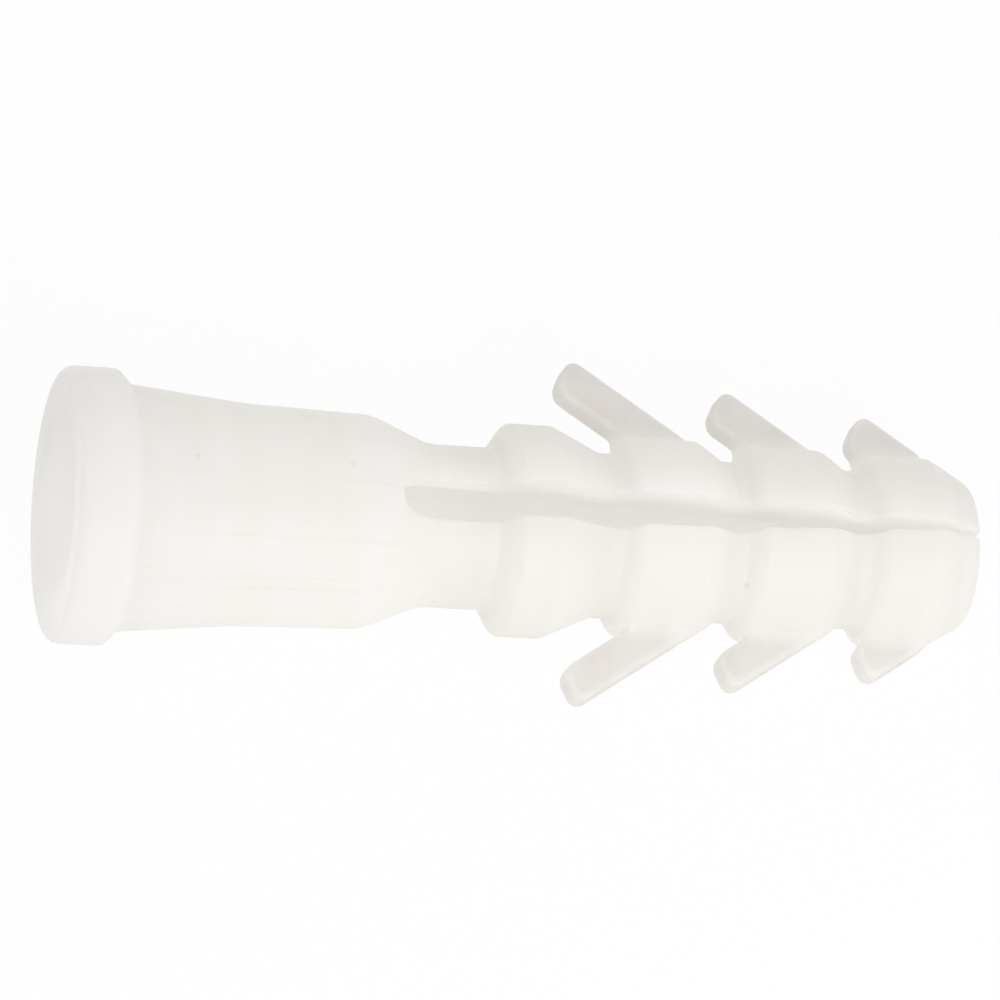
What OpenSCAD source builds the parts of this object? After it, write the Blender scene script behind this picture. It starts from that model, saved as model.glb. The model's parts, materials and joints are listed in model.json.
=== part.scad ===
// Expansion wall plug for an 8 mm hole: one moulding, divided where its plastic flexes.
// +X runs from the collar's outer face into the wall, +Y points to the left leg, +Z looks out of the slot.

/* [Collar] */
// Diameter of the collar
collar_d = 10.3; // [9.6:0.1:13]
// Length of the collar's straight rim
collar_l = 1.95; // [1:0.05:3]
// Length of the cone from the collar down to the barrel
shoulder_l = 0.5; // [0.4:0.05:1.5]
// Rounding of the collar's edges
collar_round = 0.4; // [0.1:0.05:0.5]

/* [Barrel] */
// Diameter next to the collar
barrel_d = 9.2; // [8.6:0.1:9.4]
// Length of the fast taper
fast_taper_l = 4.35; // [3:0.05:6]
// Diameter where the fast taper ends
waist_d = 8.3; // [8.1:0.1:8.6]
// Length of the slow taper
slow_taper_l = 4.9; // [3:0.1:7]
// Diameter at the far end
barrel_end_d = 8; // [7.6:0.1:8.1]

/* [Neck] */
// Length of the cone from the barrel down to the neck
cone_l = 2.2; // [1.6:0.1:3.5]
// Diameter of the neck, where the legs flex
neck_d = 6.1; // [5.8:0.1:7]
// Length of the neck
neck_l = 2.45; // [1.6:0.05:4]

/* [Barbs] */
// Distance from one barb to the next
barb_pitch = 4.8; // [4.5:0.05:5.6]
// Diameter of the first barb, which fills the drilled hole
first_barb_d = 8; // [7.4:0.1:8.4]
// Length of the first barb's crest
first_crest_l = 2.25; // [1.5:0.05:3]
// Diameter of the second barb
barb_d = 7.5; // [7:0.1:8]
// Loss of diameter from each later barb to the next
barb_drop = 0.12; // [0:0.02:0.3]
// Length of the last barb's crest
last_crest_l = 2.6; // [2.2:0.05:3.4]
// Slope of the barbs' steep faces
step_angle = 57; // [45:1:80]
// Rounding at the top of a steep face
step_round = 0.25; // [0.1:0.05:0.5]
// Slope of the barbs' backs, and of the fins that carry the slope on
back_angle = 34; // [28:1:40]
// Rounding of the barbs' other edges
barb_round = 0.45; // [0.1:0.05:0.6]

/* [Grooves] */
// Diameter of the first groove between two barbs
groove_d = 6.2; // [5.8:0.1:6.6]
// Loss of diameter from each groove to the next
groove_drop = 0.1; // [0:0.02:0.2]
// Length of a groove's floor
groove_l = 0.65; // [0.4:0.05:1]
// Rounding at the foot of a barb
groove_round = 0.4; // [0.1:0.05:0.5]

/* [Tip] */
// Length of the tip's cone
tip_l = 1.65; // [1:0.05:3]
// Diameter of the cone at the tip's end, before rounding
tip_d = 5.4; // [4:0.1:6]
// Rounding of the tip's end
tip_round = 0.6; // [0.2:0.05:0.8]

/* [Fins] */
// Thickness of a fin
fin_t = 1.45; // [1.1:0.05:1.7]
// Width of a fin
fin_w = 1.3; // [1:0.05:2.4]
// Rounding of a fin's long edges
fin_round = 0.25; // [0.1:0.05:0.5]
// Rounding of a fin's end
fin_end_round = 0.5; // [0.2:0.05:0.6]
// Lean of a fin's end away from square with the fin
fin_end_lean = 10; // [0:1:20]
// Reach of the rear fins out from their barb's crest
rear_fin_reach = 2.85; // [1.3:0.05:3.5]
// Reach of the middle fins out from their barb's crest
middle_fin_reach = 2.06; // [1.3:0.02:3]
// Reach of the front fins out from their barb's crest
front_fin_reach = 1.47; // [1.3:0.01:2.5]
// How far the front fins' heels run onto the tip's cone
front_heel_l = 0.25; // [0:0.05:0.4]

/* [Slot] */
// Width of the slot at the neck
slot_w = 1.4; // [1:0.05:1.8]
// Width of the slot at the second barb
slot_mid_w = 1.24; // [0.8:0.02:1.6]
// Width of the slot at the tip
slot_tip_w = 0.2; // [0.15:0.05:1]
// Depth of the slot's round end in the barrel's cone
slot_depth = 1.5; // [0.9:0.05:2.2]

/* [Bore] */
// Diameter of the screw bore
bore_d = 4.6; // [3.8:0.1:5]
// Diameter of the bore at the tip
tip_bore_d = 1.2; // [0.8:0.1:2]
// Diameter of the funnel at the bore's mouth
mouth_d = 7; // [5.6:0.1:8]
// Depth of the funnel
mouth_l = 1.2; // [0.6:0.05:2]

/* [Hidden] */
$fn = 96;
plastic = [0.93, 0.93, 0.91];
// Flats in a rounded corner
round_steps = 3;
// How far a cut runs past the face that it opens
over = 1;

// Places along the axis, from the collar's outer face
shoulder_x = collar_l + shoulder_l;
waist_x = shoulder_x + fast_taper_l;
barrel_x = waist_x + slow_taper_l;
neck_x = barrel_x + cone_l;
step_x = [for (i = [0:3]) neck_x + neck_l + i * barb_pitch];
groove_x = [for (i = [1:3]) step_x[i] - groove_l];
tip_cone_x = step_x[3] + last_crest_l;
tip_x = tip_cone_x + tip_l;
slot_mid_x = step_x[1] + barb_pitch / 2;

// Radii of the four crests and the three grooves
crest_r = [first_barb_d / 2, for (i = [0:2]) (barb_d - i * barb_drop) / 2];
groove_r = [for (i = [0:2]) (groove_d - i * groove_drop) / 2];

// Each fin carries on the line of its barb's back, which ends at its heel
REAR = 0;
MIDDLE = 1;
FRONT = 2;
fin_reach = [rear_fin_reach, middle_fin_reach, front_fin_reach];
fin_heel = [[groove_x[1], groove_r[1]], [groove_x[2], groove_r[2]], [tip_cone_x + front_heel_l, crest_r[3]]];
// The fold line, where a fin's underside meets the crest
fold_r = [for (i = [REAR:FRONT]) crest_r[i + 1]];
fold_x = [for (i = [REAR:FRONT])
    fin_heel[i].x - (fold_r[i] - fin_heel[i].y + fin_t / cos(back_angle)) / tan(back_angle)];
// Length of a fin from its fold line to the middle of its end, and of its root from the fold line to the heel
fin_l = [for (i = [REAR:FRONT]) fin_end_round / cos(fin_end_lean)
    + (fin_reach[i] - fin_end_round - (fin_t - fin_end_round) * cos(back_angle)) / sin(back_angle)
    - (fin_t / 2 - fin_end_round) * tan(fin_end_lean)];
root_l = [for (i = [REAR:FRONT])
    norm(fin_heel[i] - [fold_x[i], fold_r[i]] - fin_t * [sin(back_angle), cos(back_angle)])];

// Corner b of an outline as a short curve between its neighbours a and c
function unit(v) = v / norm(v);
function corner(a, b, c, radius) =
    radius == 0 ? [b] :
    let (u = unit(a - b), v = unit(c - b), half = acos(u * v) / 2)
    let (cut = min(radius / tan(half), 0.45 * norm(a - b), 0.45 * norm(c - b)))
    [for (i = [0:round_steps]) let (s = i / round_steps) b + u * cut * pow(1 - s, 2) + v * cut * pow(s, 2)];

// An outline whose points are [x, radius from the axis, rounding]
function place(p) = [p.x, p.y];
function rounded(points) =
    let (n = len(points))
    [for (i = [0:n - 1])
        each corner(place(points[(i + n - 1) % n]), place(points[i]), place(points[(i + 1) % n]), points[i].z)];

sleeve_outline = rounded([
    [0, 0, 0],
    [0, collar_d / 2, collar_round],
    [collar_l, collar_d / 2, collar_round],
    [shoulder_x, barrel_d / 2, 0],
    [waist_x, waist_d / 2, 0],
    [barrel_x, barrel_end_d / 2, barb_round],
    [neck_x, neck_d / 2, 0],
    [neck_x, 0, 0]]);

// A barb's steep face, crest and the start of its back
function step(i, floor_r) = [
    [step_x[i], floor_r, groove_round],
    [step_x[i] + (crest_r[i] - floor_r) / tan(step_angle), crest_r[i], step_round]];
function back(i, crest_end) = [
    [crest_end, crest_r[i], barb_round],
    [groove_x[i], groove_r[i], groove_round]];
function crest_end(i) = groove_x[i] - (crest_r[i] - groove_r[i]) / tan(back_angle);

leg_outline = rounded([
    [neck_x, 0, 0],
    [neck_x, neck_d / 2, 0],
    each step(0, neck_d / 2),
    each back(0, step_x[0] + first_crest_l),
    for (i = [1, 2]) each concat(step(i, groove_r[i - 1]), back(i, crest_end(i))),
    each step(3, groove_r[2]),
    [tip_cone_x, crest_r[3], barb_round],
    [tip_x, tip_d / 2, tip_round],
    [tip_x, 0, 0]]);

// Turns an outline of [x, radius] points round the X axis
module spin(outline) {
    rotate([0, 90, 0])
        rotate_extrude()
            polygon([for (p = outline) [p.y, p.x]]);
}

// The bore narrows from the neck to the tip, so that a screw spreads the legs
module tapered_bore() {
    slope = (bore_d - tip_bore_d) / 2 / (tip_x - neck_x);
    spin([[neck_x - over, 0],
          [neck_x - over, bore_d / 2 + over * slope],
          [tip_x + over, tip_bore_d / 2 - over * slope],
          [tip_x + over, 0]]);
}

// The half of space on the left leg's side of the slot
module left_of_slot() {
    far = collar_d;
    linear_extrude(height = 2 * far, center = true)
        polygon([[neck_x, slot_w / 2],
                 [slot_mid_x, slot_mid_w / 2],
                 [tip_x, slot_tip_w / 2],
                 [tip_x, far],
                 [neck_x, far]]);
}

// Puts a fin's own frame on its fold line: x along the fin, y into the plug
module at_fold(i) {
    translate([fold_x[i], fold_r[i], 0])
        rotate([0, 0, 180 - back_angle])
            children();
}

// A round-edged bar along the fin, from one length to another
module fin_bar(from, to) {
    half_w = fin_w / 2;
    translate([from, 0, 0])
        rotate([90, 0, 90])
            linear_extrude(height = to - from)
                polygon(rounded([
                    [0, -half_w, fin_round],
                    [0, half_w, fin_round],
                    [-fin_t, half_w, fin_round],
                    [-fin_t, -half_w, fin_round]]));
}

// The root of a fin, which stays with the leg and runs down its barb's back
module fin_root(i) {
    at_fold(i)
        fin_bar(-root_l[i], 0);
}

// The part of a fin that folds, from its fold line to its round end
module fin(i) {
    lean = fin_t / 2 * tan(fin_end_lean);
    at_fold(i)
        intersection() {
            fin_bar(0, fin_l[i] + lean);
            linear_extrude(height = 2 * fin_w, center = true)
                polygon(rounded([
                    [-over, 0, 0],
                    [-over, -fin_t, 0],
                    [fin_l[i] + lean, -fin_t, fin_end_round],
                    [fin_l[i] - lean, 0, fin_end_round]]));
        }
}

module sleeve() {
    slot_x = neck_x - slot_depth;
    color(plastic)
        difference() {
            spin(sleeve_outline);
            // Bore, with the funnel that leads the screw in
            funnel_slope = (mouth_d - bore_d) / 2 / mouth_l;
            spin([[-over, 0],
                  [-over, mouth_d / 2 + over * funnel_slope],
                  [mouth_l, bore_d / 2],
                  [neck_x + over, bore_d / 2],
                  [neck_x + over, 0]]);
            // Round end of the slot
            translate([slot_x + slot_w / 2, 0, 0]) {
                cylinder(h = 2 * collar_d, d = slot_w, center = true);
                translate([0, -slot_w / 2, -collar_d])
                    cube([neck_x, slot_w, 2 * collar_d]);
            }
        }
}

module left_leg() {
    color(plastic)
        difference() {
            intersection() {
                union() {
                    spin(leg_outline);
                    for (i = [REAR:FRONT])
                        fin_root(i);
                }
                left_of_slot();
            }
            tapered_bore();
        }
}

module right_leg() {
    mirror([0, 1, 0])
        left_leg();
}

module left_rear_fin() {
    color(plastic)
        fin(REAR);
}

module left_middle_fin() {
    color(plastic)
        fin(MIDDLE);
}

module left_front_fin() {
    color(plastic)
        fin(FRONT);
}

module right_rear_fin() {
    mirror([0, 1, 0])
        left_rear_fin();
}

module right_middle_fin() {
    mirror([0, 1, 0])
        left_middle_fin();
}

module right_front_fin() {
    mirror([0, 1, 0])
        left_front_fin();
}

sleeve();
left_leg();
right_leg();
left_rear_fin();
left_middle_fin();
left_front_fin();
right_rear_fin();
right_middle_fin();
right_front_fin();
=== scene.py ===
"""Looks of a moulded wall plug: a smooth skin cut into nine pieces, its plastic, floor, light and camera."""
import json
import math

import bmesh
import bpy
import numpy as np
import openvdb
from mathutils import Matrix, Vector


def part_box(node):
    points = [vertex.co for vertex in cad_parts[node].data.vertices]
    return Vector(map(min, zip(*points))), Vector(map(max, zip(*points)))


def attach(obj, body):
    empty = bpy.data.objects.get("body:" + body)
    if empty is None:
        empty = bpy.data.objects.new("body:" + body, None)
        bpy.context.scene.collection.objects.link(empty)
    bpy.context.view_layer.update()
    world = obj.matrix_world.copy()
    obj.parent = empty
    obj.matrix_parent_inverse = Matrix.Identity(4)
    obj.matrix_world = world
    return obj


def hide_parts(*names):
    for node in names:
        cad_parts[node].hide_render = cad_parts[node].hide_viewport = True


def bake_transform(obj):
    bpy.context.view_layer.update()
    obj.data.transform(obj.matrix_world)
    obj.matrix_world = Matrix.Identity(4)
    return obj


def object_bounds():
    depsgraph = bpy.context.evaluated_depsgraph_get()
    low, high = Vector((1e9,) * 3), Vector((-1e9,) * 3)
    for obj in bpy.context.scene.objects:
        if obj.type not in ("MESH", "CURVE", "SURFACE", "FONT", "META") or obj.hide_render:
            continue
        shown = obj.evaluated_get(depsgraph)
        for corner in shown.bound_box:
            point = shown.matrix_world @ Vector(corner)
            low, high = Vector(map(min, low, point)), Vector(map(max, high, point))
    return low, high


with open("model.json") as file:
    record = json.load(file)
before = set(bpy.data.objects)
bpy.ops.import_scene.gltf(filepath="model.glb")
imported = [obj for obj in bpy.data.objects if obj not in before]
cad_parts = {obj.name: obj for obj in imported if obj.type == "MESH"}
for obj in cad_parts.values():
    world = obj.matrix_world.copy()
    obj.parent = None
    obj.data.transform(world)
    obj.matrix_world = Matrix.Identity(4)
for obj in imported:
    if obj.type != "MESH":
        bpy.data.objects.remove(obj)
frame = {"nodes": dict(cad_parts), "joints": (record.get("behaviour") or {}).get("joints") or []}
cad_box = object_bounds()

MM = 0.001

# Places that the frame gives, in millimetres
JOINTS = {joint["name"]: joint for joint in frame["joints"]}


def joint_place(name):
    x, y, _ = JOINTS[name]["pos_m"]
    return np.array([x, y]) / MM


NECK_X, NECK_R = joint_place("left_leg_flex")
COLLAR_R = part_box("sleeve")[1].z / MM
TIP_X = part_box("left_leg")[1].x / MM
FOLDS = {name: joint_place(f"left_{name}_fold") for name in ("rear", "middle", "front")}

# Outside of the plug, in millimetres along the axis and out from it
COLLAR_L = 1.95
SHOULDER_X = 2.45
BARREL_R = 4.6
WAIST_X, WAIST_R = 6.8, 4.15
BARREL_X, BARREL_END_R = 11.7, 4.0
FIRST_STEP_X = 16.35
BARB_PITCH = 4.8
STEP_ANGLE = math.radians(57)
CREST_R = (4.0, 3.75, 3.69, 3.63)
FIRST_CREST_L = 2.25
GROOVE_R = (3.1, 3.05, 3.0)
GROOVE_L = 0.65
BACK_ANGLE = math.radians(34)
TIP_L = 1.65
TIP_R = 2.7
FACE_ROUND, COLLAR_ROUND, SHOULDER_ROUND, WAIST_ROUND, CONE_ROUND = 0.45, 0.35, 0.15, 3.0, 2.0
STEP_ROUND, BARB_ROUND, GROOVE_ROUND, TIP_ROUND = 0.28, 0.5, 0.42, 0.65

# Fins, in millimetres
FIN_T = 1.45
FIN_W = 1.3
FIN_ROUND = 0.5
FIN_EDGE = 0.22
FIN_END_LEAN = math.radians(10)
FIN_REACH = {"rear": 2.85, "middle": 2.06, "front": 1.47}
# How far a fin's bar runs back into its barb from the fold line
FIN_ROOT = {"rear": 3.4, "middle": 3.38, "front": 2.15}

# Slot and bore, in millimetres, with the slot's half width at places along the axis
SLOT_DEPTH = 1.5
SLOT_X = NECK_X - SLOT_DEPTH
SLOT_HALF_W = ((NECK_X, 0.7), (FIRST_STEP_X + 1.5 * BARB_PITCH, 0.62), (TIP_X, 0.1))
BORE_R, TIP_BORE_R = 2.3, 0.6
MOUTH_R, MOUTH_L = 3.5, 1.2

# Softness of the moulding's edges and corners, in millimetres
FIN_FILLET, FILLET_REACH = 0.6, 0.65
FIN_SEAM = 0.1
SLOT_EDGE = 0.15
BORE_EDGE = 0.3

# Fineness of the skin: grid in millimetres, cells of room round it, share of faces kept, points in a curve
GRID_STEP = 0.1
GRID_MARGIN = 3
KEPT_FACES = 0.3
CURVE_STEPS = 10
# The most of an outline's side that the rounding of one corner takes
CORNER_SHARE = 0.45


def corner(a, b, c, radius):
    """Corner b of an outline as a curve between its neighbours a and c."""
    if radius == 0:
        return [b]
    before_l, after_l = np.linalg.norm(a - b), np.linalg.norm(c - b)
    u, v = (a - b) / before_l, (c - b) / after_l
    half = math.acos(u @ v) / 2
    cut = min(radius / math.tan(half), CORNER_SHARE * before_l, CORNER_SHARE * after_l)
    return [b + u * cut * (1 - s) ** 2 + v * cut * s**2 for s in np.linspace(0, 1, CURVE_STEPS)]


def rounded(points):
    """A closed outline from corners given as (x, radius from the axis, rounding)."""
    places = [np.array(p[:2]) for p in points]
    after = places[1:] + places[:1]
    curves = [corner(places[i - 1], places[i], after[i], points[i][2]) for i in range(len(points))]
    return np.concatenate(curves)


def outline_distance(outline, x, r):
    """Signed distance to a closed outline, negative inside."""
    nearest = np.full(x.shape, np.inf)
    inside = np.zeros(x.shape, bool)
    for (ax, ar), (bx, br) in zip(outline, np.roll(outline, -1, axis=0)):
        ex, er = bx - ax, br - ar
        share = np.clip(((x - ax) * ex + (r - ar) * er) / (ex * ex + er * er), 0, 1)
        nearest = np.minimum(nearest, (x - ax - share * ex) ** 2 + (r - ar - share * er) ** 2)
        if er:
            inside ^= ((ar > r) != (br > r)) & (x < ax + (r - ar) * ex / er)
    return np.where(inside, -1, 1) * np.sqrt(nearest)


def revolved(outline, step=0.03, margin=1.5):
    """The distance to a solid of revolution about X, read from a fine table of its outline's distance."""
    low = outline.min(0) - margin
    low[1] = -margin
    count = ((outline.max(0) + margin - low) / step).astype(int) + 2
    axes = [low[i] + step * np.arange(count[i]) for i in (0, 1)]
    table = outline_distance(outline, *np.meshgrid(*axes, indexing="ij"))

    def distance(x, r):
        u = np.clip((x - low[0]) / step, 0, count[0] - 1.001)
        v = np.clip((r - low[1]) / step, 0, count[1] - 1.001)
        i, j = u.astype(int), v.astype(int)
        u, v = u - i, v - j
        return ((1 - u) * ((1 - v) * table[i, j] + v * table[i, j + 1])
                + u * ((1 - v) * table[i + 1, j] + v * table[i + 1, j + 1]))

    return distance


def smooth_min(a, b, width):
    return np.minimum(a, b) - np.maximum(width - np.abs(a - b), 0) ** 2 / (4 * width)


def smooth_max(a, b, width):
    return -smooth_min(-a, -b, width)


# Outlines run on below the axis, so that the axis is no edge, and the bore's past both ends of the plug
BELOW_AXIS = -3
PAST_END = 2


def plug_outline():
    """The outside of the plug, from its collar's face to its tip."""
    step = [FIRST_STEP_X + i * BARB_PITCH for i in range(4)]
    groove = [x - GROOVE_L for x in step[1:]]
    points = [(0, BELOW_AXIS, 0), (0, COLLAR_R, FACE_ROUND), (COLLAR_L, COLLAR_R, COLLAR_ROUND),
              (SHOULDER_X, BARREL_R, SHOULDER_ROUND), (WAIST_X, WAIST_R, WAIST_ROUND),
              (BARREL_X, BARREL_END_R, CONE_ROUND), (NECK_X, NECK_R, CONE_ROUND)]
    floor_r = NECK_R
    for i in range(4):
        crest_start = step[i] + (CREST_R[i] - floor_r) / math.tan(STEP_ANGLE)
        points += [(step[i], floor_r, GROOVE_ROUND), (crest_start, CREST_R[i], STEP_ROUND)]
        if i < 3:
            floor_r = GROOVE_R[i]
            back_l = (CREST_R[i] - floor_r) / math.tan(BACK_ANGLE)
            crest_end = step[i] + FIRST_CREST_L if i == 0 else groove[i] - back_l
            points += [(crest_end, CREST_R[i], BARB_ROUND), (groove[i], floor_r, GROOVE_ROUND)]
    points += [(TIP_X - TIP_L, CREST_R[3], BARB_ROUND), (TIP_X, TIP_R, TIP_ROUND), (TIP_X, BELOW_AXIS, 0)]
    return rounded(points)


def bore_outline():
    """The mouth's funnel, the bore through the barrel, and its taper between the legs."""
    wide_r = MOUTH_R + PAST_END * (MOUTH_R - BORE_R) / MOUTH_L
    narrow_r = TIP_BORE_R - PAST_END * (BORE_R - TIP_BORE_R) / (TIP_X - NECK_X)
    low_x, high_x = -PAST_END, TIP_X + PAST_END
    return np.array([(low_x, BELOW_AXIS), (low_x, wide_r), (MOUTH_L, BORE_R), (NECK_X, BORE_R),
                     (high_x, narrow_r), (high_x, BELOW_AXIS)])


outside = revolved(plug_outline())
bore = revolved(bore_outline())


def slot(x, y):
    """Signed distance to the slot between the legs, which has a round end in the barrel's cone."""
    half = np.interp(x, *zip(*SLOT_HALF_W))
    end_r = SLOT_HALF_W[0][1]
    return np.where(x < SLOT_X + end_r, np.hypot(x - SLOT_X - end_r, y) - end_r, np.abs(y) - half)


def fin_length(name):
    """From the fold line to the middle of a fin's end, whose outer corner is the fin's reach."""
    lean = (FIN_T / 2 - FIN_ROUND) * math.tan(FIN_END_LEAN)
    straight = FIN_REACH[name] - FIN_ROUND - (FIN_T - FIN_ROUND) * math.cos(BACK_ANGLE)
    return FIN_ROUND / math.cos(FIN_END_LEAN) + straight / math.sin(BACK_ANGLE) - lean


def in_fin(name, x, y):
    """Points in a fin's own frame: along it from its fold line, and out from its underside."""
    along = np.array([-math.cos(BACK_ANGLE), math.sin(BACK_ANGLE)])
    out = np.array([math.sin(BACK_ANGLE), math.cos(BACK_ANGLE)])
    dx, dy = x - FOLDS[name][0], np.abs(y) - FOLDS[name][1]
    return dx * along[0] + dy * along[1], dx * out[0] + dy * out[1]


def round_corner(a, b, radius):
    """Signed distance to the region where a and b are both negative, with a round corner."""
    a, b = a + radius, b + radius
    return np.hypot(np.maximum(a, 0), np.maximum(b, 0)) + np.minimum(np.maximum(a, b), 0) - radius


def fin_bar(name, x, y, z):
    """Signed distance to a bar with softened edges, from deep in its barb to the fin's round end."""
    s, t = in_fin(name, x, y)
    end = (s - fin_length(name)) * math.cos(FIN_END_LEAN) - (t - FIN_T / 2) * math.sin(FIN_END_LEAN)
    side = round_corner(np.maximum(end, -FIN_ROOT[name] - s), np.abs(t - FIN_T / 2) - FIN_T / 2, FIN_ROUND)
    return round_corner(side, np.abs(z) - FIN_W / 2, FIN_EDGE)


def plug(x, y, z):
    """Signed distance to the whole moulding, in millimetres."""
    r = np.hypot(y, z)
    skin = outside(x, r)
    for name in FOLDS:
        near_fold = np.exp(-((np.hypot(*in_fin(name, x, y)) / FILLET_REACH) ** 2))
        skin = smooth_min(skin, fin_bar(name, x, y, z), FIN_SEAM + (FIN_FILLET - FIN_SEAM) * near_fold)
    skin = smooth_max(skin, -slot(x, y), SLOT_EDGE)
    return smooth_max(skin, -bore(x, r), BORE_EDGE)


def slope_of(points, reach=0.02):
    """Distance and unit slope of the moulding's field at points."""
    steps = np.eye(3) * reach
    slope = np.stack([(plug(*(points + d).T) - plug(*(points - d).T)) / (2 * reach) for d in steps], axis=1)
    return plug(*points.T), slope / np.linalg.norm(slope, axis=1)[:, None]


def on_skin(points, rounds=4):
    """Points moved onto the moulding's skin."""
    for _ in range(rounds):
        distance, slope = slope_of(points)
        points = points - distance[:, None] * slope
    return points


def new_object(name, mesh):
    obj = bpy.data.objects.new(name, mesh)
    bpy.context.scene.collection.objects.link(obj)
    return obj


def whole_skin():
    """The moulding's skin as one triangle mesh, in millimetres."""
    low, high = (np.array(end) / MM for end in cad_box)
    room = GRID_MARGIN * GRID_STEP
    axes = [np.arange(a - room, b + room, GRID_STEP) for a, b in zip(low, high)]
    field = np.stack([plug(*np.meshgrid([x], axes[1], axes[2], indexing="ij"))[0] for x in axes[0]])
    grid = openvdb.FloatGrid()
    grid.copyFromArray(field.astype(np.float32))
    points, quads = grid.convertToQuads(0)
    points = on_skin(points * GRID_STEP + [a[0] for a in axes])
    mesh = bpy.data.meshes.new("skin")
    mesh.from_pydata(points, [], quads.tolist())
    obj = new_object("skin", mesh)
    thin = obj.modifiers.new("thin", "DECIMATE")
    thin.ratio = KEPT_FACES
    made = bpy.data.meshes.new_from_object(obj.evaluated_get(bpy.context.evaluated_depsgraph_get()))
    bpy.data.objects.remove(obj)
    kept = on_skin(np.array([v.co for v in made.vertices]))
    made.vertices.foreach_set("co", kept.astype(np.float32).ravel())
    return made


# Where a fin's skin parts from its leg's, past the fold line, and how far it bends from there, in millimetres
FIN_CUT = {"rear": 0.3, "middle": 0.3, "front": 0.15}
FIN_BEND = {"rear": 1.1, "middle": 0.9, "front": 0.4}
# Rows of edges across a bend, so that no triangle turns over in it
BEND_CUTS = 7
# Room round a fin, how far before a fin's cut its faces are looked for, and what counts as one point
FIN_MARGIN = 0.1
CUT_REACH = 1
SNAP = 0.004
SIDES = {"left": 1, "right": -1}


def fin_point(name, side, s):
    """A point of a fin's underside, at a distance from its fold line."""
    x, y = FOLDS[name]
    return Vector((x - s * math.cos(BACK_ANGLE), side * (y + s * math.sin(BACK_ANGLE)), 0))


def within_fin(name, side, centres, s_low):
    """Which centres lie in a fin, from a distance past its fold line to its end."""
    x, y, z = centres.T
    s, t = in_fin(name, x, y)
    along = (s > s_low) & (s < fin_length(name) + FIN_MARGIN)
    across = (np.abs(z) < FIN_W / 2 + FIN_MARGIN) & (t > -FIN_MARGIN) & (t < FIN_T + FIN_MARGIN)
    return (y * side > 0) & along & across


def cut_across(bm, name, side, s):
    """Adds edges across a fin, at a distance from its fold line."""
    centres = np.array([f.calc_center_median() for f in bm.faces])
    near = within_fin(name, side, centres, FIN_CUT[name] - CUT_REACH)
    faces = [f for f, yes in zip(bm.faces, near) if yes]
    edges = {e for f in faces for e in f.edges}
    verts = {v for f in faces for v in f.verts}
    along = fin_point(name, side, 1) - fin_point(name, side, 0)
    bmesh.ops.bisect_plane(bm, geom=[*verts, *edges, *faces], dist=SNAP,
                           plane_co=fin_point(name, side, s), plane_no=along)


def cut_lines(mesh):
    """The skin with edges across the neck and across each fin's cut and bend."""
    bm = bmesh.new()
    bm.from_mesh(mesh)
    bmesh.ops.dissolve_degenerate(bm, dist=SNAP, edges=bm.edges[:])
    bmesh.ops.bisect_plane(bm, geom=bm.verts[:] + bm.edges[:] + bm.faces[:], dist=SNAP,
                           plane_co=(NECK_X, 0, 0), plane_no=(1, 0, 0))
    for side in SIDES.values():
        for name in FOLDS:
            for more in np.linspace(0, FIN_BEND[name], BEND_CUTS):
                cut_across(bm, name, side, FIN_CUT[name] + more)
    bmesh.ops.triangulate(bm, faces=[f for f in bm.faces if len(f.verts) > 4])
    return bm


def pieces_of(bm):
    """The faces of each piece, as {node: list of faces}."""
    bm.faces.ensure_lookup_table()
    centres = np.array([f.calc_center_median() for f in bm.faces])
    leg = np.where(centres[:, 1] > 0, "left_leg", "right_leg")
    node = np.where(centres[:, 0] < NECK_X, "sleeve", leg).astype(object)
    for side_name, side in SIDES.items():
        for name in FOLDS:
            node[within_fin(name, side, centres, FIN_CUT[name])] = f"{side_name}_{name}_fin"
    return {n: [f for f, m in zip(bm.faces, node) if m == n] for n in frame["nodes"]}


# What the material knows of the skin's shape, which it paints shade and light by, and the distance that each
# mark is measured by, in millimetres
SHAPE_MARKS = {"edge": 0.11, "hollow": 0.9, "proud": 1.5}


def turn(field, points, reach):
    """How sharply a field's skin turns, above 0 at outer edges and below 0 in grooves."""
    steps = np.eye(points.shape[1]) * reach
    return sum(field(*(points + d).T) + field(*(points - d).T) - 2 * field(*points.T) for d in steps) / reach


def shape_marks(points):
    """The skin's turn, the round body's broad turn, and how far the skin stands out of that body."""
    body = np.stack([points[:, 0], np.hypot(points[:, 1], points[:, 2])], axis=1)
    marks = {"edge": turn(plug, points, SHAPE_MARKS["edge"]),
             "hollow": turn(outside, body, SHAPE_MARKS["hollow"]),
             "proud": outside(*body.T) / SHAPE_MARKS["proud"]}
    return {mark: np.clip(values, -1, 1) for mark, values in marks.items()}


# Place of the cut walls' material in a piece's list, after the plastic
CUT_INDEX = 1


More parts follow.
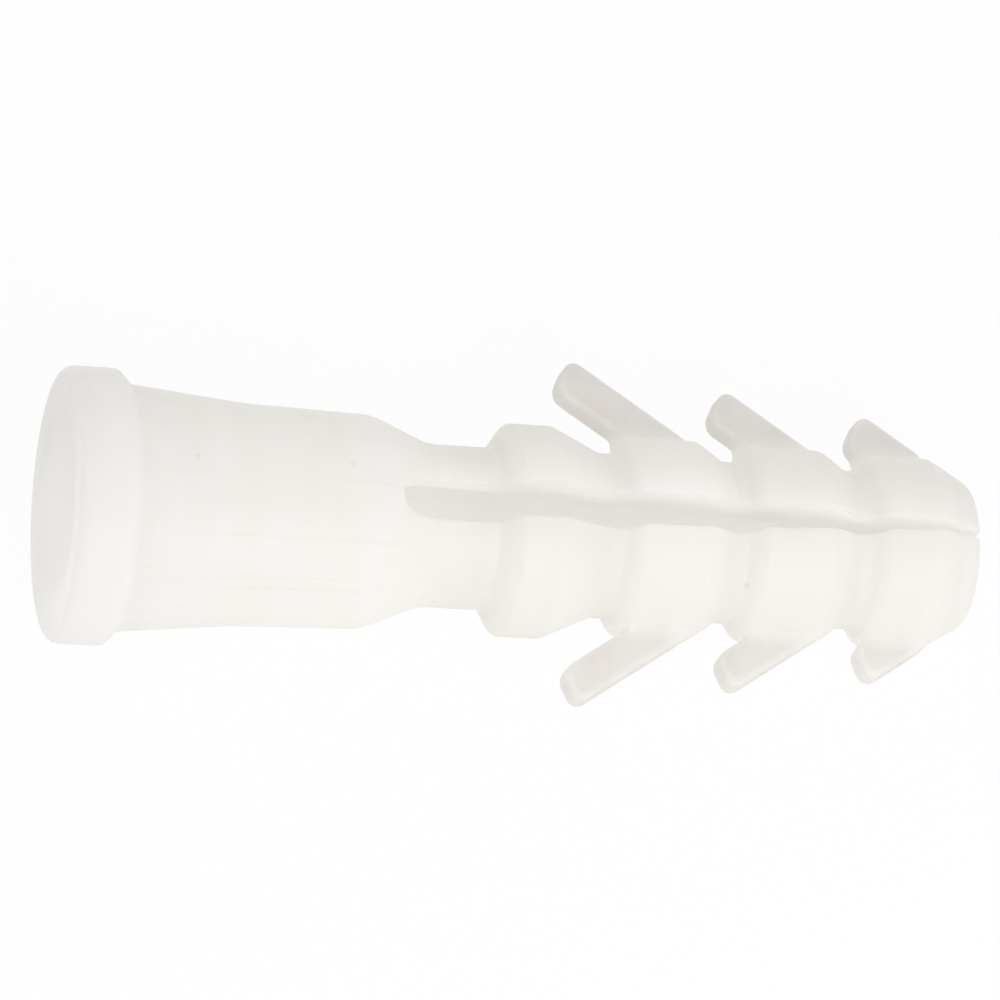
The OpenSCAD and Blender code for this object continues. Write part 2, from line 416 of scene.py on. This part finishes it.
def piece_mesh(name, faces):
    """One closed piece, whose cuts are flat walls, with the skin's own slope as its normals."""
    places = {v: i for i, v in enumerate({v: None for f in faces for v in f.verts})}
    made = bmesh.new()
    verts = [made.verts.new(v.co) for v in places]
    for f in faces:
        made.faces.new([verts[places[v]] for v in f.verts])
    walls = bmesh.ops.holes_fill(made, edges=[e for e in made.edges if e.is_boundary], sides=0)["faces"]
    for wall in walls:
        wall.material_index = CUT_INDEX
    bmesh.ops.triangulate(made, faces=[f for f in made.faces if len(f.verts) > 4])
    bmesh.ops.recalc_face_normals(made, faces=made.faces[:])
    mesh = bpy.data.meshes.new(name)
    made.to_mesh(mesh)
    points = np.array([v.co for v in mesh.vertices])
    slopes = slope_of(points)[1]
    for mark, values in shape_marks(points).items():
        mesh.attributes.new(mark, "FLOAT", "POINT").data.foreach_set("value", values.astype(np.float32))
    normals = []
    for polygon in mesh.polygons:
        cut = polygon.material_index == CUT_INDEX
        normals += [polygon.normal[:] if cut else tuple(slopes[i]) for i in polygon.vertices]
    mesh.transform(Matrix.Scale(MM, 4))
    mesh.shade_smooth()
    mesh.normals_split_custom_set(normals)
    return mesh


class Wiring:
    """Adds nodes to a new material or world. An input is either a number or another node's output."""

    def __init__(self, owner):
        self.owner = owner
        owner.use_nodes = True
        self.tree = owner.node_tree
        self.tree.nodes.clear()

    def add(self, kind, inputs, output=0, **settings):
        node = self.tree.nodes.new(f"ShaderNode{kind}")
        for setting, value in settings.items():
            setattr(node, setting, value)
        for socket, value in inputs.items():
            if isinstance(value, bpy.types.NodeSocket):
                self.tree.links.new(value, node.inputs[socket])
            else:
                node.inputs[socket].default_value = value
        return node.outputs[output]

    def maths(self, operation, a, b):
        return self.add("Math", {0: a, 1: b}, operation=operation)

    def spread(self, value, low, high, to_low=0.0, to_high=1.0):
        return self.add("MapRange", {"Value": value, "From Min": low, "From Max": high,
                                     "To Min": to_low, "To Max": to_high}, output="Result")

    def finish(self, shader, kind="Material"):
        out = self.tree.nodes.new(f"ShaderNodeOutput{kind}")
        self.tree.links.new(shader, out.inputs["Surface"])
        return self.owner


# The plastic, from its darkest tone to its lightest, with the body's place between them; the dark end carries
# painted shade and the light end painted light, besides the flow marks
DARK_TONE = (0.893, 0.87, 0.847, 1)
BODY_TONE = (0.981, 0.973, 0.955, 1)
LIGHT_TONE = (0.997, 0.992, 0.983, 1)
BODY_PLACE = 0.75
# Painted shade that the fins, grooves and legs' deep bore add to the tone, painted light that the mouth, slot
# and bore add, what the flow lines add, and how far the other flow marks waver
FIN_PAINTED_SHADE, INSIDE_PAINTED_LIGHT, DEEP_PAINTED_SHADE, HOLLOW_PAINTED_SHADE, LINE_TONE = -0.63, 0.2, -0.32, -0.22, -0.3
CLOUD_TONE, STREAK_TONE, RING_TONE = 0.1, 0.06, 0.1
# Specks, and the share of light that passes the skin
SPECK_COLOUR = (0.8, 0.77, 0.72, 1)
SPECK_SHARE = 0.45
THROUGH_SHARE = 0.72
# Depth of the skin's grain, in millimetres
GRAIN_DEPTH = 0.006


def stretched_noise(w, place, stretch, detail):
    drawn = w.add("Mapping", {"Vector": place, "Scale": stretch})
    return w.add("TexNoise", {"Vector": drawn, "Scale": 1.0, "Detail": detail})


def outward(w, place):
    """Points as millimetres along the plug and a direction out from its axis, so that marks run along it."""
    along = w.add("VectorMath", {0: place, 1: (1, 0, 0)}, operation="MULTIPLY")
    across = w.add("VectorMath", {0: place, 1: (0, 1, 1)}, operation="MULTIPLY")
    return w.add("VectorMath", {0: along, 1: w.add("VectorMath", {0: across}, operation="NORMALIZE")})


def painted_light_and_tone(w, place):
    """From 0, dark, to 1, light: painted shade on the fins, in the grooves and deep in the legs' bore,
    painted light in the mouth, slot and bore, and flow marks.
    """
    edge, hollow, proud = (w.add("Attribute", {}, output="Fac", attribute_name=mark) for mark in SHAPE_MARKS)
    # Painted shade on the fins, weaker at their rounded edges so that these look lit
    fin = w.maths("MULTIPLY", w.spread(proud, 0.05, 0.4), w.spread(edge, 0.6, 0.15, 0.3, 1.0))
    # Painted light in the mouth, slot and bore, where the skin lies inside the round body
    inside = w.spread(proud, -0.05, -0.4)
    # Painted shade in the grooves and other hollows of the outside
    shade = w.maths("MULTIPLY", w.spread(hollow, 0.2, -0.5), w.spread(proud, -0.2, -0.05))
    on_legs = w.spread(w.add("SeparateXYZ", {0: place}), BARREL_X, NECK_X)
    # Painted shade deep in the legs' bore
    deep = w.maths("MULTIPLY", w.spread(proud, -0.4, -0.75), on_legs)
    cloud = w.add("TexNoise", {"Vector": place, "Scale": 0.14, "Detail": 3.0})
    ring = stretched_noise(w, place, (1.6, 0.12, 0.12), 3.0)
    around = outward(w, place)
    streak = stretched_noise(w, around, (0.14, 5, 5), 4.0)
    fine = w.spread(stretched_noise(w, around, (0.07, 11, 11), 1.0), 0.58, 0.75)
    line = w.maths("MULTIPLY", w.maths("SUBTRACT", fine, on_legs), w.spread(cloud, 0.45, 0.6))
    line = w.maths("MAXIMUM", line, 0.0)
    added = ((FIN_PAINTED_SHADE, fin), (INSIDE_PAINTED_LIGHT, inside), (DEEP_PAINTED_SHADE, deep),
             (HOLLOW_PAINTED_SHADE, shade), (LINE_TONE, line))
    tone = BODY_PLACE
    for amount, part in added:
        tone = w.add("Math", {0: part, 1: amount, 2: tone}, operation="MULTIPLY_ADD")
    for amount, part in ((CLOUD_TONE, cloud), (STREAK_TONE, streak), (RING_TONE, ring)):
        tone = w.maths("ADD", tone, w.spread(part, 0.25, 0.75, -amount, amount))
    return tone


def plastic_material():
    """Milky plastic: much of the light passes the skin and scatters on the other walls."""
    w = Wiring(bpy.data.materials.new("milky_plastic"))
    metres = w.add("TexCoord", {}, output="Object")
    place = w.add("Mapping", {"Vector": metres, "Scale": (1 / MM, 1 / MM, 1 / MM)})
    # The tone ramp carries painted shade and painted light as well as the plastic's flow marks
    ramp = w.add("ValToRGB", {"Fac": painted_light_and_tone(w, place)}, output="Color")
    bands = ramp.node.color_ramp
    bands.elements[0].color, bands.elements[1].color = DARK_TONE, LIGHT_TONE
    bands.elements.new(BODY_PLACE).color = BODY_TONE
    fleck = w.add("TexVoronoi", {"Vector": place, "Scale": 0.4}, output="Distance")
    speck = w.spread(fleck, 0.07, 0.02, 0.0, SPECK_SHARE)
    colour = w.add("Mix", {"Factor": speck, 6: ramp, 7: SPECK_COLOUR}, output=2, data_type="RGBA")
    grain = w.add("TexNoise", {"Vector": place, "Scale": 3.0, "Detail": 4.0})
    wave = w.add("TexNoise", {"Vector": place, "Scale": 0.6, "Detail": 2.0})
    height = w.add("Math", {0: wave, 1: 6.0, 2: grain}, operation="MULTIPLY_ADD")
    normal = w.add("Bump", {"Height": height, "Strength": 0.25, "Distance": GRAIN_DEPTH * MM})
    rough = w.spread(grain, 0.3, 0.7, 0.34, 0.5)
    surface = w.add("BsdfPrincipled", {"Base Color": colour, "Roughness": rough,
                                       "Normal": normal, "IOR": 1.49})
    through = w.add("BsdfTranslucent", {"Color": colour, "Normal": normal})
    return w.finish(w.add("MixShader", {"Fac": THROUGH_SHARE, 1: surface, 2: through}))


def cut_material():
    """The walls where the pieces part, which are no surface of the moulding, so light passes them."""
    w = Wiring(bpy.data.materials.new("cut_through_plastic"))
    return w.finish(w.add("BsdfTransparent", {}))


def build_pieces():
    """The dressed pieces, the sleeve riding on its body and the legs and fins left in place."""
    bm = cut_lines(whole_skin())
    plastic, cut = plastic_material(), cut_material()
    made = {}
    for node, faces in pieces_of(bm).items():
        piece = new_object(f"{node}_skin", piece_mesh(f"{node}_skin", faces))
        piece.data.materials.append(plastic)
        piece.data.materials.append(cut)
        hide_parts(node)
        made[node] = piece
    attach(made["sleeve"], "sleeve")
    for side_name, side in SIDES.items():
        leg = f"{side_name}_leg"
        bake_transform(made[leg])
        for name in FOLDS:
            fin = f"{side_name}_{name}_fin"
            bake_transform(made[fin])


build_pieces()

# Camera, from the photograph's viewing angle, with lengths in metres
CAMERA_YAW, CAMERA_ROLL, CAMERA_TILT = (math.radians(a) for a in (13.9, 19.2, 3.4))
CAMERA_DISTANCE = 0.3
PICTURE_WIDTH = 0.03745
LOOK_AT = Vector((0.0175, 0, 0))
CENTRE_SHIFT = (-0.000536, 0.001151)
SENSOR = 36


def camera_axes():
    """The camera's right, up and back directions."""
    a, r, t = CAMERA_YAW, CAMERA_ROLL, CAMERA_TILT
    right = Vector((math.cos(a), -math.sin(a) * math.sin(r), math.sin(a) * math.cos(r)))
    up = Vector((0, math.cos(r), math.sin(r)))
    back = Vector((-math.sin(a), -math.cos(a) * math.sin(r), math.cos(a) * math.cos(r)))
    return right * math.cos(t) + up * math.sin(t), up * math.cos(t) - right * math.sin(t), back


def add_camera():
    right, up, back = camera_axes()
    data = bpy.data.cameras.new("camera")
    data.sensor_width = SENSOR
    data.lens = SENSOR * CAMERA_DISTANCE / PICTURE_WIDTH
    data.clip_start, data.clip_end = 0.01, 5
    camera = new_object("camera", data)
    place = LOOK_AT + back * CAMERA_DISTANCE + right * CENTRE_SHIFT[0] + up * CENTRE_SHIFT[1]
    camera.matrix_world = Matrix.Translation(place) @ Matrix((right, up, back)).transposed().to_4x4()
    bpy.context.scene.camera = camera


# The floor's own white where it is seen, the tone of the rest, and its reach from the plug in metres
FLOOR_WHITE = 0.94
FLOOR_TONE = (0.9, 0.9, 0.9, 1)
FLOOR_REACH = 1.0


def floor_material():
    """White where it is seen, with the rest of it shaded so that the shadow stays."""
    w = Wiring(bpy.data.materials.new("white_floor"))
    path = w.add("LightPath", {}).node.outputs
    seen_in_plug = w.maths("MAXIMUM", path["Is Glossy Ray"], path["Is Transmission Ray"])
    seen = w.maths("MAXIMUM", path["Is Camera Ray"], seen_in_plug)
    shaded = w.add("BsdfDiffuse", {"Color": FLOOR_TONE})
    white = w.add("Emission", {"Strength": 1.0})
    share = w.maths("MULTIPLY", seen, FLOOR_WHITE)
    return w.finish(w.add("MixShader", {"Fac": share, 1: shaded, 2: white}))


def add_floor():
    """A floor that touches the collar's rim and the last barb."""
    slope = math.atan2(COLLAR_R - CREST_R[3], TIP_X - TIP_L - COLLAR_L)
    mesh = bpy.data.meshes.new("floor")
    corners = [(x * FLOOR_REACH, y * FLOOR_REACH, 0) for x, y in ((-1, -1), (1, -1), (1, 1), (-1, 1))]
    mesh.from_pydata(corners, [], [(0, 1, 2, 3)])
    floor = new_object("floor", mesh)
    floor.location = (COLLAR_L * MM, 0, -COLLAR_R * MM)
    floor.rotation_euler = (0, -slope, 0)
    mesh.materials.append(floor_material())


# Soft light from all round, from the collar's side to the tip's, with a key lamp over the right leg
SKY_STRENGTH = (0.95, 0.85)
# The lamp's place from the middle of the plug and its width, in metres, and its power in watts
LAMP_AWAY = Vector((0.03, -0.088, 0.08))
LAMP_SIZE = 0.08
LAMP_POWER = 0.072


def add_lights():
    w = Wiring(bpy.data.worlds.new("world"))
    towards = w.add("SeparateXYZ", {0: w.add("TexCoord", {}, output="Generated")})
    sky = w.add("Background", {"Strength": w.spread(towards, -1.0, 1.0, *SKY_STRENGTH)})
    bpy.context.scene.world = w.finish(sky, "World")
    light = bpy.data.lights.new("key", "AREA")
    light.energy = LAMP_POWER
    light.size = LAMP_SIZE
    lamp = new_object("key", light)
    lamp.location = LOOK_AT + LAMP_AWAY
    lamp.rotation_euler = (LOOK_AT - lamp.location).to_track_quat("-Z", "Y").to_euler()


add_camera()
add_floor()
add_lights()
bpy.context.scene.view_settings.view_transform = "Standard"
